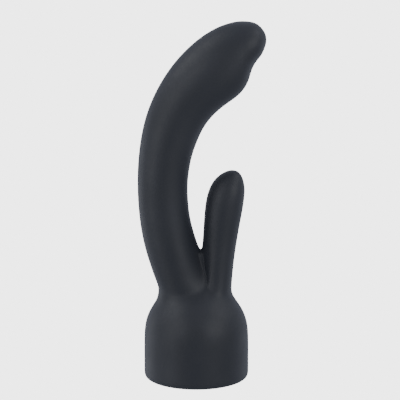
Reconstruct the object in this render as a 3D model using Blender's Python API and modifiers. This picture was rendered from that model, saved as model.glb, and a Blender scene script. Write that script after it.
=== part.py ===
"""A slip-on silicone attachment for the head of a handheld wand massager.

A bell-shaped sleeve, open underneath, stretches over the wand's round head. A long curved arm with a
bulbous tip and a short straight arm rise from its dome, and a thin web joins them low down. Stiff nylon
cores lie inside the silicone and carry the vibration up from the seat.

Lengths are in millimetres, and heights are above the rim, until ROW_FRAME scales them to metres and puts
the origin at the centre of the seat, the flat ceiling of the socket where the wand's head bears.
The object is symmetric about the plane Y = 0, in which both arms lie.
"""

import math

import bmesh
import bpy
import numpy as np
from mathutils import Matrix, Vector

MM = 0.001

# The wand's head, and the bell around it.
HEAD_DIAMETER = 45
SOCKET_RADIUS = HEAD_DIAMETER / 2 - 0.5  # the silicone stretches over the head
WALL = 5
BELL_RADIUS = SOCKET_RADIUS + WALL
SEAT_HEIGHT = 38
SEAT_CORNER = 11
DOME_BASE = 24
DOME_RISE = 25.5
RIM_ROUND = 2.2
GRIP_BEAD = 0.9  # how far the bead inside the mouth stands in, to hold the head

NECK = (-0.7, 44.6, 19.2, 16.6)  # centre x, height, half-width, half-depth

# Level sections of the roots, where both arms are joined: centre x, height, half-width, half-depth.
LONG_ROOT = (
    (-6.8, 48.5, 12.7, 13.3),
    (-8.9, 54.5, 13.1, 13.1),
    (-10.6, 61, 13.4, 13.0),
    (-12.4, 67.5, 13.7, 13.0),
)
SHORT_ROOT = (
    (10.2, 48.5, 8.0, 10.8),
    (10.6, 54.5, 8.1, 10.0),
    (11.0, 61, 8.3, 9.6),
    (11.6, 67.5, 8.5, 9.5),
)
# The web between the roots, at the same heights: x by the long arm, x by the short arm, half-thickness.
WEB = (
    (4.8, 6.2, 10.5),
    (4.0, 5.4, 6.6),
    (2.4, 4.2, 4.4),
    (0.6, 3.7, 3.8),
)

# Sections of the arms above their roots: the point on the outer side, the point on the inner side, both
# (x, z), and the half-depth. The last section is the end of the tip.
LONG_ARM = (
    ((-28.3, 78.5), (-2.5, 81.7), 12.9),
    ((-29.7, 90.5), (-4.0, 91.5), 12.9),
    ((-30.2, 103), (-4.4, 102.5), 13.0),
    ((-29.7, 116), (-3.2, 113), 13.2),
    ((-28.0, 129), (-1.2, 121), 13.5),
    ((-25.1, 140.5), (1.9, 129), 13.8),
    ((-20.7, 151.2), (5.4, 135.3), 14.2),
    ((-15.2, 160.8), (9.8, 140.5), 14.7),
    ((-8.8, 169.2), (14.8, 144.8), 15.2),
    ((-1.4, 176.6), (19.4, 148.2), 15.4),
    ((5.6, 181.9), (23.2, 151.7), 15.0),
    ((11.5, 185.1), (26.0, 156.0), 14.2),
    ((16.5, 186.9), (27.5, 160.2), 13.3),
    ((20.5, 187.8), (28.5, 163.4), 12.5),
    ((24.5, 188.0), (30.2, 166.8), 11.6),
    ((29.0, 187.4), (32.6, 170.0), 9.8),
    ((32.2, 185.6), (34.3, 173.0), 7.4),
    ((34.4, 183.0), (35.4, 176.2), 4.4),
    ((35.5, 180.8), (35.8, 178.4), 1.8),
)
SHORT_ARM = (
    ((21.6, 77.0), (3.6, 77.6), 9.4),
    ((22.8, 83.8), (4.0, 84.5), 9.6),
    ((23.9, 90.0), (4.6, 91.2), 9.7),
    ((24.6, 95.2), (5.6, 96.8), 9.6),
    ((24.9, 99.6), (7.3, 101.6), 8.9),
    ((24.5, 103.4), (9.6, 105.2), 7.6),
    ((23.5, 106.6), (12.6, 107.9), 5.6),
    ((21.9, 108.9), (15.6, 109.5), 3.3),
    ((19.9, 110.0), (17.6, 110.0), 1.4),
)
WEB_CREASE = (0.2, 0.4, 0.5)

ARM_SIDES = 12
BELL_SIDES = 2 * (ARM_SIDES - 1)

# Where each arm flexes. Its sleeve ends below in a ball about the pivot, in a seat with this gap.
LONG_PIVOT = (-16.2, 86)
LONG_BALL = 16
SHORT_PIVOT = (13.2, 81)
SHORT_BALL = 11
SEAM_GAP = 0.35
BALL_STEPS = 20

# How many sections of an arm a body has, from the root up, when the arm itself belongs to another body.
LONG_STUMP = 6
LOW_LONG_STUMP = 4
SHORT_STUMP = 6

# The stiff parts: a disc above the seat with a prong into each arm's root, and a bar along each arm.
FIT = 0.3  # the gap all round them
DISC_RADIUS = 14
DISC_LOW = 40
DISC_THICKNESS = 3
PRONGS = {
    "long": ((-7, 41.5), (-10, 59), 4.5),
    "short": ((9, 41.5), (11, 57), 3.2),
}
KEY_HOLES = 2
KEY_CIRCLE = 9.5
KEY_RADIUS = 2.5
WITNESS_HOLES = 3  # left in the seat by the pins that held the disc in the mould
WITNESS_CIRCLE = 7
WITNESS_RADIUS = 1.5
LONG_CORE = [
    (-13.8, 75), (-15.3, 83), (-16.6, 91), (-17.4, 100), (-17.5, 110), (-16.2, 120), (-13.8, 130),
    (-10, 139), (-5, 147), (1, 154), (8, 160.5), (15.5, 167), (21, 172.5),
]
SHORT_CORE = [(12.3, 75), (13.2, 82), (14.2, 89), (15.3, 96), (16.5, 102)]
CORE_OPENING = 9

MERGE = 0.00002
SHARP_DEGREES = 40

ROW_FRAME = Matrix.Scale(MM, 4) @ Matrix.Translation((0, 0, -SEAT_HEIGHT))


def swell(sides):
    """How much wider a round cage has to be than the surface that subdivision makes of it."""
    return 3 / (2 + math.cos(math.tau / sides))


def oval_ring(centre, tilt, half_width, half_depth, facing):
    """Cage points of an oval section. Point 0 faces the other arm, and the rest go round by +Y."""
    points = []
    for k in range(ARM_SIDES):
        angle = math.tau * k / ARM_SIDES
        across = facing * half_width * math.cos(angle) * swell(ARM_SIDES)
        depth = half_depth * math.sin(angle) * swell(ARM_SIDES)
        points.append((centre[0] + across * math.cos(tilt), depth, centre[1] - across * math.sin(tilt)))
    return points


def rail_ring(section, facing):
    """Cage points of an arm's section, given by its outer and inner points."""
    (x0, z0), (x1, z1), half_depth = section
    tilt = math.atan2((z0 - z1) * facing, (x1 - x0) * facing)
    centre = ((x0 + x1) / 2, (z0 + z1) / 2)
    return oval_ring(centre, tilt, math.hypot(x1 - x0, z1 - z0) / 2, half_depth, facing)


def through(rings, fixed):
    """Moves the cage's sections along an arm so that the smooth surface passes through them.

    The first `fixed` sections and the last one stay where they are.
    """
    wanted = np.array(rings, float)
    count = len(wanted)
    system = np.eye(count)
    for i in range(fixed, count - 1):
        system[i, i - 1 : i + 2] = (1 / 6, 4 / 6, 1 / 6)
    flat = np.linalg.solve(system, wanted.reshape(count, -1))
    return flat.reshape(wanted.shape)


def arm_cage(root, arm, facing):
    """All of an arm's sections, from the bell up to the tip."""
    rings = [oval_ring((x, z), 0, half_width, half_depth, facing) for x, z, half_width, half_depth in root]
    rings += [rail_ring(section, facing) for section in arm]
    return through(rings, len(root))


def bridge(bm, lower, upper):
    """Quads between two closed loops of the same length."""
    count = len(lower)
    for k in range(count):
        j = (k + 1) % count
        bm.faces.new((lower[k], lower[j], upper[j], upper[k]))


def joined_loop(long_ring, short_ring):
    """The loop round both arms, counter-clockwise from +X, without the two vertices that face each other."""
    half = ARM_SIDES // 2
    return (
        [short_ring[k] for k in range(half, 0, -1)]
        + long_ring[1:]
        + [short_ring[k] for k in range(ARM_SIDES - 1, half, -1)]
    )


def set_web(long_ring, short_ring, level):
    """Moves the vertices beside the facing ones to the faces of the web between the arms."""
    x_long, x_short, half_thickness = WEB[level]
    for ring, x in ((long_ring, x_long), (short_ring, x_short)):
        for k, side in ((1, 1), (ARM_SIDES - 1, -1)):
            ring[k].co.x = x
            ring[k].co.y = side * half_thickness


def bell_profile():
    """(radius, height) of the bell from the dome, down the outside, and up inside the socket to the seat."""
    dome = []
    for angle in (40, 28, 14, 0):
        a = math.radians(angle)
        dome.append((BELL_RADIUS * math.cos(a), DOME_BASE + DOME_RISE * math.sin(a)))
    corner = []
    for angle in (0, 30, 60, 90):
        a = math.radians(angle)
        corner.append(
            (
                SOCKET_RADIUS - SEAT_CORNER * (1 - math.cos(a)),
                SEAT_HEIGHT - SEAT_CORNER * (1 - math.sin(a)),
            )
        )
    inner = SOCKET_RADIUS
    return (
        dome
        + [
            (BELL_RADIUS, 12),
            (BELL_RADIUS, 2 * RIM_ROUND),
            (BELL_RADIUS, RIM_ROUND),
            (BELL_RADIUS - 0.25 * RIM_ROUND, 0.25 * RIM_ROUND),
            (BELL_RADIUS - RIM_ROUND, 0),
            (BELL_RADIUS - RIM_ROUND - 1, 0),
            (inner + 0.5, 0),
            (inner - 0.2, 0.3),
            (inner - GRIP_BEAD, 2),
            (inner - GRIP_BEAD, 4),
            (inner, 6),
            (inner, 9),
        ]
        + corner
        + [(inner - SEAT_CORNER - 1.5, SEAT_HEIGHT)]
    )


def silicone_cage(long_count, short_count):
    """The cage of the silicone body, with each arm ending after a number of sections."""
    bm = bmesh.new()
    crease = bm.edges.layers.float.new("crease_edge")
    longs = [[bm.verts.new(p) for p in ring] for ring in arm_cage(LONG_ROOT, LONG_ARM, 1)[:long_count]]
    shorts = [[bm.verts.new(p) for p in ring] for ring in arm_cage(SHORT_ROOT, SHORT_ARM, -1)[:short_count]]
    levels = len(WEB)
    for level in range(levels):
        set_web(longs[level], shorts[level], level)
    loops = [joined_loop(longs[i], shorts[i]) for i in range(levels)]
    for lower, upper in zip(loops, loops[1:]):
        bridge(bm, lower, upper)
    for lower, upper in zip(longs[levels - 1 :], longs[levels:]):
        bridge(bm, lower, upper)
    for lower, upper in zip(shorts[levels - 1 :], shorts[levels:]):
        bridge(bm, lower[::-1], upper[::-1])
    bm.faces.new(longs[-1])
    bm.faces.new(shorts[-1][::-1])
    saddle_long, saddle_short = longs[levels - 1], shorts[levels - 1]
    for k, j in ((0, 1), (-1, 0)):
        bm.faces.new((saddle_short[k], saddle_short[j], saddle_long[j], saddle_long[k]))
    for level in range(levels - 1):
        for rings in (longs, shorts):
            for k in (1, -1):
                edge = bm.edges.get((rings[level][k], rings[level + 1][k]))
                edge[crease] = WEB_CREASE[level]
        bm.verts.remove(longs[level][0])
        bm.verts.remove(shorts[level][0])
    loop = loops[0]
    x, height, half_width, half_depth = NECK
    outlines = [(x, height, half_width, half_depth)]
    outlines += [(0, z, r * swell(BELL_SIDES), r * swell(BELL_SIDES)) for r, z in bell_profile()]
    for x, height, half_width, half_depth in outlines:
        ring = []
        for k in range(BELL_SIDES):
            a = math.tau * k / BELL_SIDES
            ring.append(bm.verts.new((x + half_width * math.cos(a), half_depth * math.sin(a), height)))
        bridge(bm, ring, loop)
        loop = ring
    bm.faces.new(loop[::-1])
    bmesh.ops.recalc_face_normals(bm, faces=bm.faces)
    return bm


def clear_file():
    """Removes whatever the file starts with."""
    for obj in list(bpy.data.objects):
        bpy.data.objects.remove(obj)


def new_collection(name):
    """A collection in the scene."""
    collection = bpy.data.collections.new(name)
    bpy.context.scene.collection.children.link(collection)
    return collection


def matte_material(name, color, roughness):
    """A plain Principled material."""
    material = bpy.data.materials.new(name)
    material.use_nodes = True
    shader = material.node_tree.nodes["Principled BSDF"]
    shader.inputs["Base Color"].default_value = (*color, 1)
    shader.inputs["Roughness"].default_value = roughness
    material.diffuse_color = (*color, 1)
    return material


def new_object(name, mesh, collection):
    """An object for a mesh, in a collection."""
    obj = bpy.data.objects.new(name, mesh)
    collection.objects.link(obj)
    return obj


def add_boolean(obj, cutter, operation="DIFFERENCE"):
    """An exact Boolean that stays live on the object."""
    boolean = obj.modifiers.new(f"{operation.title()} {cutter.name}", "BOOLEAN")
    boolean.operation = operation
    boolean.solver = "EXACT"
    boolean.object = cutter


def silicone_object(name, long_count, short_count, collection):
    """The silicone body, smoothed, with each arm ending after a number of sections, or whole."""
    bm = silicone_cage(long_count, short_count)
    bm.transform(ROW_FRAME)
    mesh = bpy.data.meshes.new(name)
    bm.to_mesh(mesh)
    bm.free()
    obj = new_object(name, mesh, collection)
    smooth = obj.modifiers.new("Smooth surface", "SUBSURF")
    smooth.levels = 1
    smooth.render_levels = 1
    return obj


def turned_object(name, profile, collection, steps=32):
    """A solid of revolution about its own +Z, from (radius, height) points down its outer side."""
    mesh = bpy.data.meshes.new(name)
    points = [(r * MM, 0, z * MM) for r, z in profile]
    mesh.from_pydata(points, [(i, i + 1) for i in range(len(points) - 1)], [])
    obj = new_object(name, mesh, collection)
    screw = obj.modifiers.new("Turn", "SCREW")
    screw.steps = steps
    screw.render_steps = steps
    screw.use_merge_vertices = True
    screw.merge_threshold = 0.00001
    screw.use_smooth_shade = False
    return obj


def place(obj, x, z):
    """Puts an object's origin at a point of the plane Y = 0, given above the rim."""
    obj.location = ROW_FRAME @ Vector((x, 0, z))


def ball_cutter(name, pivot, radius, collection):
    """A ball about a pivot: the seat that the lower end of an arm lies in."""
    arc = [math.radians(90 - 180 * i / BALL_STEPS) for i in range(BALL_STEPS + 1)]
    profile = [(radius * math.cos(a), radius * math.sin(a)) for a in arc]
    profile[0] = (0, radius)
    profile[-1] = (0, -radius)
    obj = turned_object(name, profile, collection)
    place(obj, *pivot)
    return obj


def bowl_cutter(name, pivot, radius, collection):
    """Everything below a pivot but a ball about it: cutting it away leaves an arm with a ball end."""
    half = BALL_STEPS // 2
    arc = [math.radians(90 * i / half - 90) for i in range(half + 1)]
    inside = [(radius * math.cos(a), radius * math.sin(a)) for a in arc]
    inside[0] = (0, -radius)
    obj = turned_object(name, inside + [(60, 0), (60, -110), (0, -110)], collection)
    place(obj, *pivot)
    return obj


def rod_mesh(name, points):
    """A round bar along points (x, z, radius) of the plane Y = 0."""
    curve = bpy.data.curves.new(name, "CURVE")
    curve.dimensions = "3D"
    curve.bevel_depth = MM
    curve.bevel_resolution = 1
    curve.use_fill_caps = True
    spline = curve.splines.new("POLY")
    spline.points.add(len(points) - 1)
    for point, (x, z, radius) in zip(spline.points, points):
        point.co = (*(ROW_FRAME @ Vector((x, 0, z))), 1)
        point.radius = radius
    obj = new_object(name, curve, bpy.context.scene.collection)
    mesh = bpy.data.meshes.new_from_object(obj)
    bpy.data.objects.remove(obj)
    bm = bmesh.new()
    bm.from_mesh(mesh)
    bmesh.ops.remove_doubles(bm, verts=bm.verts, dist=MERGE)
    bmesh.ops.recalc_face_normals(bm, faces=bm.faces)
    bm.to_mesh(mesh)
    bm.free()
    return mesh


def beyond(point, neighbour, distance, grow):
    """A point further along a bar's end, for a bar that is thicker by grow."""
    x, z, radius = point
    length = math.hypot(x - neighbour[0], z - neighbour[1])
    step_x = (x - neighbour[0]) * distance / length
    step_z = (z - neighbour[1]) * distance / length
    return (x + step_x, z + step_z, radius + grow)


def rod_pair(name, line, radius, waist, parts, cutters):
    """A core, waisted at every second point, and the cutter for its cavity.

    The cavity runs on downwards, so that it opens at the arm's ball end.
    """
    points = [(x, z, waist if i % 2 else radius) for i, (x, z) in enumerate(line)]
    core = new_object(name, rod_mesh(name, points), parts)
    room = [(x, z, r + FIT) for x, z, r in points]
    room[-1] = beyond(points[-1], points[-2], FIT, FIT)
    room.insert(0, beyond(points[0], points[1], CORE_OPENING, FIT))
    cavity = new_object(f"{name}_cavity", rod_mesh(f"{name}_cavity", room), cutters)
    return core, cavity


def cylinder_into(bm, low, high, radius_low, radius_high, sides=24):
    """A closed round bar between two points (x, y, z)."""
    start, end = Vector(low), Vector(high)
    turn = (end - start).to_track_quat("Z", "Y").to_matrix().to_4x4()
    bmesh.ops.create_cone(
        bm,
        cap_ends=True,
        segments=sides,
        radius1=radius_low,
        radius2=radius_high,
        depth=(end - start).length,
        matrix=Matrix.Translation((start + end) / 2) @ turn,
    )


def bar_object(name, bars, collection):
    """An object made of round bars, each (low, high, radius_low, radius_high)."""
    bm = bmesh.new()
    for bar in bars:
        cylinder_into(bm, *bar)
    bm.transform(ROW_FRAME)
    mesh = bpy.data.meshes.new(name)
    bm.to_mesh(mesh)
    bm.free()
    return new_object(name, mesh, collection)


def insert_object(name, grow, collection, cutters):
    """The disc above the seat, its two prongs and its keying holes, or with grow the cavity they lie in."""
    low = DISC_LOW - grow
    high = DISC_LOW + DISC_THICKNESS + grow
    radius = DISC_RADIUS + grow
    disc = bar_object(name, [((0, 0, low), (0, 0, high), radius, radius)], collection)
    for side, (foot, head, radius) in PRONGS.items():
        start = Vector((foot[0], 0, foot[1]))
        end = Vector((head[0], 0, head[1]))
        end += (end - start).normalized() * grow
        bars = [(start, end, radius + grow, 0.8 * radius + grow)]
        add_boolean(disc, bar_object(f"{name}_{side}_prong", bars, cutters), "UNION")
    radius = KEY_RADIUS - grow
    holes = [
        ((x, y, low - 3), (x, y, high + 3), radius, radius)
        for x, y in ring_points(KEY_HOLES, KEY_CIRCLE, 90)
    ]
    add_boolean(disc, bar_object(f"{name}_holes", holes, cutters))
    return disc


def ring_points(count, radius, first_degrees):
    """Points (x, y) evenly round a circle."""
    angles = [math.radians(first_degrees) + math.tau * i / count for i in range(count)]
    return [(radius * math.cos(a), radius * math.sin(a)) for a in angles]


def keep_evaluated(obj, material, origin=None):
    """Bakes an object's modifiers, cleans up the mesh, shades it and puts its origin at a point."""
    bpy.context.view_layer.update()
    evaluated = obj.evaluated_get(bpy.context.evaluated_depsgraph_get())
    mesh = bpy.data.meshes.new_from_object(evaluated)
    mesh.name = obj.name
    obj.modifiers.clear()
    obj.data = mesh
    bm = bmesh.new()
    bm.from_mesh(mesh)
    bmesh.ops.remove_doubles(bm, verts=bm.verts, dist=MERGE)
    bmesh.ops.dissolve_degenerate(bm, edges=bm.edges, dist=MERGE)
    if origin is not None:
        point = ROW_FRAME @ Vector((origin[0], 0, origin[1]))
        bm.transform(Matrix.Translation(-point))
        obj.location = point
    bm.to_mesh(mesh)
    bm.free()
    mesh.materials.clear()
    mesh.materials.append(material)
    mesh.shade_smooth()
    mesh.set_sharp_from_angle(angle=math.radians(SHARP_DEGREES))


def main():
    clear_file()
    parts = new_collection("wand_massager_attachment")
    cutters = new_collection("cutters")
    skin = matte_material("silicone_dark_blue_grey", (0.018, 0.021, 0.027), 0.5)
    arm_skin = matte_material("silicone_dark_blue_grey_long_arm", (0.018, 0.021, 0.027), 0.5)
    short_skin = matte_material("silicone_dark_blue_grey_short_arm", (0.018, 0.021, 0.027), 0.5)
    nylon = matte_material("nylon_natural_insert", (0.62, 0.60, 0.54), 0.42)
    long_nylon = matte_material("nylon_natural_long_core", (0.62, 0.60, 0.54), 0.42)
    short_nylon = matte_material("nylon_natural_short_core", (0.62, 0.60, 0.54), 0.42)

    base = silicone_object("base_sleeve", LONG_STUMP, SHORT_STUMP, parts)
    long_arm = silicone_object("long_arm_sleeve", None, SHORT_STUMP, parts)
    short_arm = silicone_object("short_arm_sleeve", LOW_LONG_STUMP, None, parts)
    long_core, long_cavity = rod_pair("long_arm_core", LONG_CORE, 6, 5, parts, cutters)
    short_core, short_cavity = rod_pair("short_arm_core", SHORT_CORE, 4, 3.2, parts, cutters)
    insert = insert_object("socket_insert", 0, parts, cutters)

    add_boolean(base, ball_cutter("long_seat", LONG_PIVOT, LONG_BALL + SEAM_GAP, cutters))
    add_boolean(base, ball_cutter("short_seat", SHORT_PIVOT, SHORT_BALL + SEAM_GAP, cutters))
    add_boolean(base, insert_object("insert_cavity", FIT, cutters, cutters))
    witness_bars = [
        ((x, y, SEAT_HEIGHT - 2), (x, y, DISC_LOW - FIT / 2), WITNESS_RADIUS, WITNESS_RADIUS)
        for x, y in ring_points(WITNESS_HOLES, WITNESS_CIRCLE, 0)
    ]
    add_boolean(base, bar_object("witness_holes", witness_bars, cutters))
    add_boolean(long_arm, bowl_cutter("long_root", LONG_PIVOT, LONG_BALL, cutters))
    add_boolean(long_arm, long_cavity)
    add_boolean(short_arm, bowl_cutter("short_root", SHORT_PIVOT, SHORT_BALL, cutters))
    add_boolean(short_arm, short_cavity)

    keep_evaluated(base, skin)
    keep_evaluated(insert, nylon)
    keep_evaluated(long_arm, arm_skin, LONG_PIVOT)
    keep_evaluated(long_core, long_nylon, LONG_PIVOT)
    keep_evaluated(short_arm, short_skin, SHORT_PIVOT)
    keep_evaluated(short_core, short_nylon, SHORT_PIVOT)
    for obj in cutters.objects:
        obj.hide_render = True
        obj.display_type = "WIRE"


main()
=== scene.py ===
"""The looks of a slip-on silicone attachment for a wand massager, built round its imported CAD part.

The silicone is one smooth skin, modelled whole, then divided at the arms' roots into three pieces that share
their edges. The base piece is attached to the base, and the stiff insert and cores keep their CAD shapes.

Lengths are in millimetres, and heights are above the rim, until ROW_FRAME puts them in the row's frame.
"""

import math

import bmesh
import bpy
import numpy as np
from mathutils import Matrix, Vector


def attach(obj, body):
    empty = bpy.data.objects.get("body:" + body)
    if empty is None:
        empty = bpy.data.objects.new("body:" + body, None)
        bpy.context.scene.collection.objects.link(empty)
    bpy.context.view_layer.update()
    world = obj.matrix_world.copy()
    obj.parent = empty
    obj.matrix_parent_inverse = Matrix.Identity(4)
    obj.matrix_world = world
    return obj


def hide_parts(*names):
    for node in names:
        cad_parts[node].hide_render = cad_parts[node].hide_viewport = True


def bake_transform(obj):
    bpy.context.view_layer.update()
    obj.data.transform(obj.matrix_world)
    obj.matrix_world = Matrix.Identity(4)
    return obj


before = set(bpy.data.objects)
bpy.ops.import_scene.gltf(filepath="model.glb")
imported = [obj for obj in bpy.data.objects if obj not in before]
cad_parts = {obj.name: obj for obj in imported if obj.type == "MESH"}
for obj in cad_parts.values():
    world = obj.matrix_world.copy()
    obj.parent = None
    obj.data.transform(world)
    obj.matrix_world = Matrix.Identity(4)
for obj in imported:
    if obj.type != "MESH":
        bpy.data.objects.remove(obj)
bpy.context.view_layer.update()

MM = 0.001
SEAT_HEIGHT = 38
ROW_FRAME = Matrix.Scale(MM, 4) @ Matrix.Translation((0, 0, -SEAT_HEIGHT))

# Bell.
BELL_RADIUS = 27
SOCKET_RADIUS = 22
SEAT_CORNER = 11
DOME_BASE = 24
DOME_RISE = 25.5
RIM_ROUND = 2.2
GRIP_BEAD = 0.9
WITNESS_CIRCLE = 7
WITNESS_RADIUS = 1.5
WITNESS_COUNT = 3
WITNESS_DEPTH = 3.1
INSERT_LOW = 40
NECK = (-0.7, 44.6, 19.2, 16.6)  # centre x, height, half-width, half-depth

# Level sections of the roots, where both arms are joined: centre x, height, half-width, half-depth.
LONG_ROOT = (
    (-6.8, 48.5, 12.7, 13.3),
    (-8.9, 54.5, 13.1, 13.1),
    (-10.6, 61, 13.4, 13.0),
    (-12.4, 67.5, 13.7, 13.0),
)
SHORT_ROOT = (
    (10.2, 48.5, 8.0, 10.8),
    (10.6, 54.5, 8.1, 10.0),
    (11.0, 61, 8.3, 9.6),
    (11.6, 67.5, 8.5, 9.5),
)
# The web between the roots, at the same heights: x by the long arm, x by the short arm, half-thickness.
WEB = (
    (4.8, 6.2, 10.5),
    (4.0, 5.4, 6.6),
    (2.4, 4.2, 4.4),
    (0.6, 3.7, 3.8),
)
WEB_CREASE = (0.2, 0.4, 0.5)

# Sections of the arms above their roots: the point on the outer side, the point on the inner side, both
# (x, z), and the half-depth. The last section is the end of the tip.
LONG_ARM = (
    ((-28.3, 78.5), (-2.5, 81.7), 12.9),
    ((-29.7, 90.5), (-4.0, 91.5), 12.9),
    ((-30.2, 103), (-4.4, 102.5), 13.0),
    ((-29.7, 116), (-3.2, 113), 13.2),
    ((-28.0, 129), (-1.2, 121), 13.5),
    ((-25.1, 140.5), (1.9, 129), 13.8),
    ((-20.7, 151.2), (5.4, 135.3), 14.2),
    ((-15.2, 160.8), (9.8, 140.5), 14.7),
    ((-8.8, 169.2), (14.8, 144.8), 15.2),
    ((-1.4, 176.6), (19.4, 148.2), 15.4),
    ((5.6, 181.9), (23.2, 151.7), 15.0),
    ((11.5, 185.1), (26.0, 156.0), 14.2),
    ((16.5, 186.9), (27.5, 160.2), 13.3),
    ((20.5, 187.8), (28.5, 163.4), 12.5),
    ((24.5, 188.0), (30.2, 166.8), 11.6),
    ((29.0, 187.4), (32.6, 170.0), 9.8),
    ((32.2, 185.6), (34.3, 173.0), 7.4),
    ((34.4, 183.0), (35.4, 176.2), 4.4),
    ((35.5, 180.8), (35.8, 178.4), 1.8),
)
SHORT_ARM = (
    ((21.6, 77.0), (3.6, 77.6), 9.4),
    ((22.8, 83.8), (4.0, 84.5), 9.6),
    ((23.9, 90.0), (4.6, 91.2), 9.7),
    ((24.6, 95.2), (5.6, 96.8), 9.6),
    ((24.9, 99.6), (7.3, 101.6), 8.9),
    ((24.5, 103.4), (9.6, 105.2), 7.6),
    ((23.5, 106.6), (12.6, 107.9), 5.6),
    ((21.9, 108.9), (15.6, 109.5), 3.3),
    ((19.9, 110.0), (17.6, 110.0), 1.4),
)
ARM_SIDES = 12
BASE, LONG, SHORT, CAP = range(4)  # what a face of the skin belongs to
BELL_SIDES = 2 * (ARM_SIDES - 1)
SUBDIVISIONS = 3
SHARP_DEGREES = 50  # edges sharper than this, at the holes, stay crisp
CAP_SINK = 0.5  # how far the middle of a cap lies below its rim

# Colours, linear.
SILICONE = (0.017, 0.019, 0.024)
SILICONE_LIGHT = (0.021, 0.023, 0.029)
NYLON = (0.62, 0.6, 0.54)
NYLON_WARM = (0.58, 0.55, 0.47)

# Stage.
FLOOR_GLOW = 4
FLOOR_REACH = 6  # metres, from the middle to each side
FLOOR_GAP = 0.4  # between the rim and the floor

# Softboxes: name, degrees round from the front (negative to the left), degrees up, and watts. The aim, the
# distance and the size are in metres.
LIGHTS = (
    ("left_front", -45, 15, 1.14),
    ("left_high", -90, 45, 1.58),
    ("right_front", 45, 15, 1.56),
    ("right_high", 90, 45, 1.05),
    ("bounce_left", -60, -15, 0.6),
    ("bounce_right", 30, -20, 0.25),
    ("bounce_left_back", -120, -12, 0.47),
    ("bounce_right_back", 120, -12, 0.19),
)
LIGHTS_AIM = (0, 0, 0.06)
LIGHTS_DISTANCE = 0.7
SOFTBOX_SIZE = 0.45
AMBIENT = (0.378, 0.394, 0.45)

# Camera: metres and degrees. FRAME_WIDTH is how much it sees across, at its target.
CAMERA_DISTANCE = 2.0
SENSOR_WIDTH = 36
CAMERA_ELEVATION = 14.4
CAMERA_TARGET = (0.00189, 0, 0.0564)
FRAME_WIDTH = 0.2056


def swell(sides):
    """How much wider a round cage has to be than the surface that subdivision makes of it."""
    return 3 / (2 + math.cos(math.tau / sides))


def oval_ring(centre, tilt, half_width, half_depth, facing):
    """Cage points of an oval section. Point 0 faces the other arm, and the rest go round by +Y."""
    points = []
    for k in range(ARM_SIDES):
        angle = math.tau * k / ARM_SIDES
        across = facing * half_width * math.cos(angle) * swell(ARM_SIDES)
        depth = half_depth * math.sin(angle) * swell(ARM_SIDES)
        points.append((centre[0] + across * math.cos(tilt), depth, centre[1] - across * math.sin(tilt)))
    return points


def rail_ring(section, facing):
    """Cage points of an arm's section, given by its outer and inner points."""
    (x0, z0), (x1, z1), half_depth = section
    tilt = math.atan2((z0 - z1) * facing, (x1 - x0) * facing)
    centre = ((x0 + x1) / 2, (z0 + z1) / 2)
    return oval_ring(centre, tilt, math.hypot(x1 - x0, z1 - z0) / 2, half_depth, facing)


def through(rings, fixed):
    """Moves the cage's sections along an arm so that the smooth surface passes through them.

    The first `fixed` sections and the last one stay where they are.
    """
    wanted = np.array(rings, float)
    count = len(wanted)
    system = np.eye(count)
    for i in range(fixed, count - 1):
        system[i, i - 1 : i + 2] = (1 / 6, 4 / 6, 1 / 6)
    flat = np.linalg.solve(system, wanted.reshape(count, -1))
    return flat.reshape(wanted.shape)


def arm_cage(root, arm, facing):
    """All of an arm's sections, from the bell up to the tip."""
    rings = [oval_ring((x, z), 0, half_width, half_depth, facing) for x, z, half_width, half_depth in root]
    rings += [rail_ring(section, facing) for section in arm]
    return through(rings, len(root))


def bell_profile():
    """(radius, height) of the bell from the dome, down the outside, and up inside the socket to the seat."""
    points = []
    for degrees in (40, 28, 14, 0):
        a = math.radians(degrees)
        points.append((BELL_RADIUS * math.cos(a), DOME_BASE + DOME_RISE * math.sin(a)))
    points += [
        (BELL_RADIUS, 12),
        (BELL_RADIUS, 2 * RIM_ROUND),
        (BELL_RADIUS, RIM_ROUND),
        (BELL_RADIUS - 0.25 * RIM_ROUND, 0.25 * RIM_ROUND),
        (BELL_RADIUS - RIM_ROUND, 0),
        (BELL_RADIUS - RIM_ROUND - 1, 0),
        (SOCKET_RADIUS + 0.5, 0),
        (SOCKET_RADIUS - 0.2, 0.3),
        (SOCKET_RADIUS - GRIP_BEAD, 2),
        (SOCKET_RADIUS - GRIP_BEAD, 4),
        (SOCKET_RADIUS, 6),
        (SOCKET_RADIUS, 9),
    ]
    for degrees in (0, 30, 60, 90):
        a = math.radians(degrees)
        inward = SEAT_CORNER * (1 - math.cos(a))
        points.append((SOCKET_RADIUS - inward, SEAT_HEIGHT - SEAT_CORNER * (1 - math.sin(a))))
    points.append((SOCKET_RADIUS - SEAT_CORNER - 1.5, SEAT_HEIGHT))
    return points


def bridge(bm, lower, upper, part, layer):
    """Quads between two closed loops of the same length, marked with the piece they belong to."""
    count = len(lower)
    for k in range(count):
        j = (k + 1) % count
        face = bm.faces.new((lower[k], lower[j], upper[j], upper[k]))
        face[layer] = part


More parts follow.
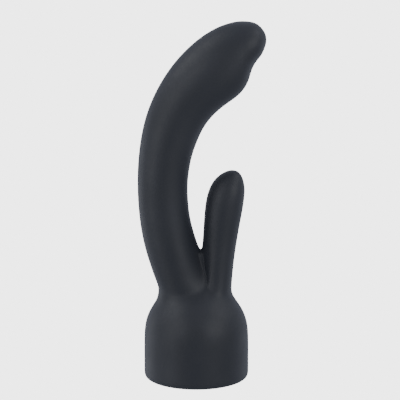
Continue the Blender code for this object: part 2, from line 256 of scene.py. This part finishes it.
def skin_cage():
    """The cage of the whole silicone skin. Its faces carry the number of the piece they belong to."""
    bm = bmesh.new()
    part = bm.faces.layers.int.new("part")
    crease = bm.edges.layers.float.new("crease_edge")
    longs = [[bm.verts.new(p) for p in ring] for ring in arm_cage(LONG_ROOT, LONG_ARM, 1)]
    shorts = [[bm.verts.new(p) for p in ring] for ring in arm_cage(SHORT_ROOT, SHORT_ARM, -1)]
    levels = len(LONG_ROOT)
    for level, (x_long, x_short, thickness) in enumerate(WEB):
        for ring, x in ((longs[level], x_long), (shorts[level], x_short)):
            for k, side in ((1, 1), (-1, -1)):
                ring[k].co.x = x
                ring[k].co.y = side * thickness
    half = ARM_SIDES // 2
    loops = []
    for level in range(levels):
        front = [shorts[level][k] for k in range(half, 0, -1)]
        back = [shorts[level][k] for k in range(ARM_SIDES - 1, half, -1)]
        loops.append(front + longs[level][1:] + back)
    for lower, upper in zip(loops, loops[1:]):
        bridge(bm, lower, upper, BASE, part)
    for lower, upper in zip(longs[levels - 1 :], longs[levels:]):
        bridge(bm, lower, upper, LONG, part)
    for lower, upper in zip(shorts[levels - 1 :], shorts[levels:]):
        bridge(bm, lower[::-1], upper[::-1], SHORT, part)
    bm.faces.new(longs[-1])[part] = LONG
    bm.faces.new(shorts[-1][::-1])[part] = SHORT
    saddle_long = longs[levels - 1]
    saddle_short = shorts[levels - 1]
    for k, j in ((0, 1), (-1, 0)):
        bm.faces.new((saddle_short[k], saddle_short[j], saddle_long[j], saddle_long[k]))[part] = BASE
    for level in range(levels - 1):
        for rings in (longs, shorts):
            for k in (1, -1):
                edge = bm.edges.get((rings[level][k], rings[level + 1][k]))
                edge[crease] = WEB_CREASE[level]
    for level in range(levels - 1):
        bm.verts.remove(longs[level][0])
        bm.verts.remove(shorts[level][0])
    x, height, half_width, half_depth = NECK
    loop = []
    for k in range(BELL_SIDES):
        a = math.tau * k / BELL_SIDES
        loop.append(bm.verts.new((x + half_width * math.cos(a), half_depth * math.sin(a), height)))
    bridge(bm, loop, loops[0], BASE, part)
    for radius, height in bell_profile():
        ring = []
        for k in range(BELL_SIDES):
            a = math.tau * k / BELL_SIDES
            r = radius * swell(BELL_SIDES)
            ring.append(bm.verts.new((r * math.cos(a), r * math.sin(a), height)))
        bridge(bm, ring, loop, BASE, part)
        loop = ring
    bm.faces.new(loop[::-1])[part] = BASE
    bmesh.ops.recalc_face_normals(bm, faces=bm.faces)
    return bm


def skin_mesh():
    """The whole skin as a dense mesh, in the row's frame, with its holes cut."""
    bm = skin_cage()
    bm.transform(ROW_FRAME)
    mesh = bpy.data.meshes.new("skin")
    bm.to_mesh(mesh)
    bm.free()
    obj = bpy.data.objects.new("skin", mesh)
    bpy.context.scene.collection.objects.link(obj)
    smooth = obj.modifiers.new("Smooth", "SUBSURF")
    smooth.levels = SUBDIVISIONS
    smooth.render_levels = SUBDIVISIONS
    cutter = witness_cutter()
    holes = obj.modifiers.new("Holes", "BOOLEAN")
    holes.solver = "EXACT"
    holes.object = cutter
    bpy.context.view_layer.update()
    dense = bpy.data.meshes.new_from_object(obj.evaluated_get(bpy.context.evaluated_depsgraph_get()))
    bpy.data.objects.remove(obj)
    bpy.data.objects.remove(cutter)
    dense.shade_smooth()
    dense.set_sharp_from_angle(angle=math.radians(SHARP_DEGREES))
    return dense


def witness_cutter():
    """Three short bars that open small holes in the seat, down to the insert above it."""
    bm = bmesh.new()
    for i in range(WITNESS_COUNT):
        a = math.tau * i / WITNESS_COUNT
        centre = (WITNESS_CIRCLE * math.cos(a), WITNESS_CIRCLE * math.sin(a), INSERT_LOW - 1.5)
        bmesh.ops.create_cone(
            bm,
            cap_ends=True,
            segments=32,
            radius1=WITNESS_RADIUS,
            radius2=WITNESS_RADIUS,
            depth=WITNESS_DEPTH,
            matrix=Matrix.Translation(centre),
        )
    bm.transform(ROW_FRAME)
    mesh = bpy.data.meshes.new("witness")
    bm.to_mesh(mesh)
    bm.free()
    obj = bpy.data.objects.new("witness", mesh)
    bpy.context.scene.collection.objects.link(obj)
    return obj


def keep_normals(mesh):
    """Stores the whole skin's shading normals on it, so that its pieces shade as one surface."""
    normals = np.empty(len(mesh.loops) * 3, np.float32)
    mesh.corner_normals.foreach_get("vector", normals)
    stored = mesh.attributes.new("skin_normal", "FLOAT_VECTOR", "CORNER")
    stored.data.foreach_set("vector", normals)


def skin_piece(name, whole, number, material):
    """One piece of the skin, closed where it meets its neighbours by a cap that bulges slightly inwards."""
    bm = bmesh.new()
    bm.from_mesh(whole)
    part = bm.faces.layers.int["part"]
    other = [f for f in bm.faces if f[part] != number]
    bmesh.ops.delete(bm, geom=other, context="FACES")
    open_edges = [e for e in bm.edges if e.is_boundary]
    filled = bmesh.ops.holes_fill(bm, edges=open_edges, sides=0)["faces"]
    for face in filled:
        face[part] = CAP
    poked = bmesh.ops.poke(bm, faces=filled)
    for face in poked["faces"]:
        face[part] = CAP
        face.smooth = False
    bm.normal_update()
    for vertex in poked["verts"]:
        vertex.co -= vertex.normal * CAP_SINK * MM
    mesh = bpy.data.meshes.new(name)
    bm.to_mesh(mesh)
    bm.free()
    normals = np.empty(len(mesh.loops) * 3, np.float32)
    mesh.attributes["skin_normal"].data.foreach_get("vector", normals)
    normals = normals.reshape(-1, 3)
    for polygon in mesh.polygons:
        if mesh.attributes["part"].data[polygon.index].value == CAP:
            for loop in polygon.loop_indices:
                normals[loop] = polygon.normal
    mesh.normals_split_custom_set(normals.tolist())
    for attribute in ("skin_normal", "part"):
        mesh.attributes.remove(mesh.attributes[attribute])
    mesh.materials.clear()
    mesh.materials.append(material)
    obj = bpy.data.objects.new(name, mesh)
    bpy.context.scene.collection.objects.link(obj)
    return obj


def shader_of(material):
    """A material's Principled shader."""
    return next(n for n in material.node_tree.nodes if n.type == "BSDF_PRINCIPLED")


def noise(material, coordinates, scale, detail=3):
    """A noise texture over the object's own coordinates, in metres."""
    node = material.node_tree.nodes.new("ShaderNodeTexNoise")
    node.inputs["Scale"].default_value = scale
    node.inputs["Detail"].default_value = detail
    material.node_tree.links.new(coordinates, node.inputs["Vector"])
    return node.outputs["Fac"]


def map_range(material, value, low, high, from_low=0.35, from_high=0.65):
    """Stretches a noise's middle to run from low to high."""
    node = material.node_tree.nodes.new("ShaderNodeMapRange")
    node.inputs["From Min"].default_value = from_low
    node.inputs["From Max"].default_value = from_high
    node.inputs["To Min"].default_value = low
    node.inputs["To Max"].default_value = high
    material.node_tree.links.new(value, node.inputs["Value"])
    return node.outputs["Result"]


def new_material(name, color, roughness):
    """A Principled material, and its object coordinates."""
    material = bpy.data.materials.new(name)
    material.use_nodes = True
    shader = shader_of(material)
    shader.inputs["Base Color"].default_value = (*color, 1)
    shader.inputs["Roughness"].default_value = roughness
    coordinates = material.node_tree.nodes.new("ShaderNodeTexCoord").outputs["Object"]
    return material, shader, coordinates


def add_bump(material, shader, heights, distance, strength):
    """Bumps from a height value."""
    bump = material.node_tree.nodes.new("ShaderNodeBump")
    bump.inputs["Distance"].default_value = distance
    bump.inputs["Strength"].default_value = strength
    material.node_tree.links.new(heights, bump.inputs["Height"])
    material.node_tree.links.new(bump.outputs["Normal"], shader.inputs["Normal"])


def mixed_color(material, shader, factor, first, second):
    """Base colour that varies between two colours."""
    mix = material.node_tree.nodes.new("ShaderNodeMix")
    mix.data_type = "RGBA"
    mix.inputs["A"].default_value = (*first, 1)
    mix.inputs["B"].default_value = (*second, 1)
    material.node_tree.links.new(factor, mix.inputs["Factor"])
    material.node_tree.links.new(mix.outputs["Result"], shader.inputs["Base Color"])


def silicone():
    """Near-black blue-grey silicone: matte, slightly velvety, with a very fine moulded grain."""
    material, shader, place = new_material("silicone_skin", SILICONE, 0.42)
    blotches = noise(material, place, scale=38)
    mixed_color(material, shader, map_range(material, blotches, 0, 1), SILICONE, SILICONE_LIGHT)
    smears = noise(material, place, scale=90, detail=4)
    link = material.node_tree.links.new
    link(map_range(material, smears, 0.47, 0.54), shader.inputs["Roughness"])
    shader.inputs["IOR"].default_value = 1.41
    grain = noise(material, place, scale=2600)
    add_bump(material, shader, grain, distance=0.00002, strength=0.35)
    shader.inputs["Sheen Weight"].default_value = 0.12
    shader.inputs["Sheen Roughness"].default_value = 0.5
    shader.inputs["Sheen Tint"].default_value = (0.75, 0.82, 1, 1)
    return material


def nylon():
    """Natural moulded nylon: off-white, satin, slightly mottled."""
    material, shader, place = new_material("nylon_natural", NYLON, 0.4)
    clouds = noise(material, place, scale=120)
    mixed_color(material, shader, map_range(material, clouds, 0, 1), NYLON, NYLON_WARM)
    link = material.node_tree.links.new
    link(map_range(material, noise(material, place, scale=300), 0.34, 0.46), shader.inputs["Roughness"])
    grain = noise(material, place, scale=1800)
    add_bump(material, shader, grain, distance=0.00003, strength=0.4)
    shader.inputs["Subsurface Weight"].default_value = 0.15
    shader.inputs["Subsurface Radius"].default_value = (0.002, 0.0015, 0.001)
    return material


def add_softbox(name, round_degrees, up_degrees, power):
    """A square area light that faces the object, placed by its direction from it. 0 degrees is the front."""
    light = bpy.data.lights.new(name, "AREA")
    light.shape = "SQUARE"
    light.size = SOFTBOX_SIZE
    light.energy = power
    obj = bpy.data.objects.new(name, light)
    turn = math.radians(round_degrees)
    rise = math.radians(up_degrees)
    away = Vector((math.sin(turn) * math.cos(rise), -math.cos(turn) * math.cos(rise), math.sin(rise)))
    obj.location = Vector(LIGHTS_AIM) + away * LIGHTS_DISTANCE
    obj.rotation_euler = (-away).to_track_quat("-Z", "Y").to_euler()
    bpy.context.scene.collection.objects.link(obj)
    return obj


def add_floor():
    """A wide pale floor that glows evenly, and that only the camera sees."""
    mesh = bpy.data.meshes.new("floor")
    low = -(SEAT_HEIGHT + FLOOR_GAP) * MM
    signs = ((-1, -1), (1, -1), (1, 1), (-1, 1))
    corners = [(x * FLOOR_REACH, y * FLOOR_REACH, low) for x, y in signs]
    mesh.from_pydata(corners, [], [(0, 1, 2, 3)])
    obj = bpy.data.objects.new("floor", mesh)
    bpy.context.scene.collection.objects.link(obj)
    material, shader, _ = new_material("floor_white", (0, 0, 0), 1)
    shader.inputs["Specular IOR Level"].default_value = 0
    shader.inputs["Emission Color"].default_value = (1, 1, 1, 1)
    shader.inputs["Emission Strength"].default_value = FLOOR_GLOW
    mesh.materials.append(material)
    obj.visible_glossy = False
    obj.visible_diffuse = False
    # The lights named bounce stand below it, in place of the light it would reflect.
    obj.visible_shadow = False
    return obj


def add_camera():
    """A long lens in front of the object, looking slightly down at it."""
    camera = bpy.data.cameras.new("camera")
    camera.sensor_width = SENSOR_WIDTH
    camera.lens = SENSOR_WIDTH * CAMERA_DISTANCE / FRAME_WIDTH
    camera.dof.use_dof = False
    obj = bpy.data.objects.new("camera", camera)
    tilt = math.radians(CAMERA_ELEVATION)
    target = Vector(CAMERA_TARGET)
    obj.location = target + Vector((0, -math.cos(tilt), math.sin(tilt))) * CAMERA_DISTANCE
    obj.rotation_euler = (math.radians(90) - tilt, 0, 0)
    bpy.context.scene.collection.objects.link(obj)
    bpy.context.scene.camera = obj


whole = skin_mesh()
keep_normals(whole)
skin = silicone()
base = skin_piece("silicone_base", whole, BASE, skin)
long_arm = skin_piece("silicone_long_arm", whole, LONG, skin)
short_arm = skin_piece("silicone_short_arm", whole, SHORT, skin)

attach(base, "base")
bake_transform(long_arm)
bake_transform(short_arm)
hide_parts("base_sleeve")
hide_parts("long_arm_sleeve")
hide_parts("short_arm_sleeve")

plastic = nylon()
for node in ("socket_insert", "long_arm_core", "short_arm_core"):
    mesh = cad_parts[node].data
    mesh.materials.clear()
    mesh.materials.append(plastic)

for light in LIGHTS:
    add_softbox(*light)
world = bpy.data.worlds.new("studio")
bpy.context.scene.world = world
world.use_nodes = True
world.node_tree.nodes["Background"].inputs["Color"].default_value = (*AMBIENT, 1)
world.node_tree.nodes["Background"].inputs["Strength"].default_value = 1
add_floor()
add_camera()
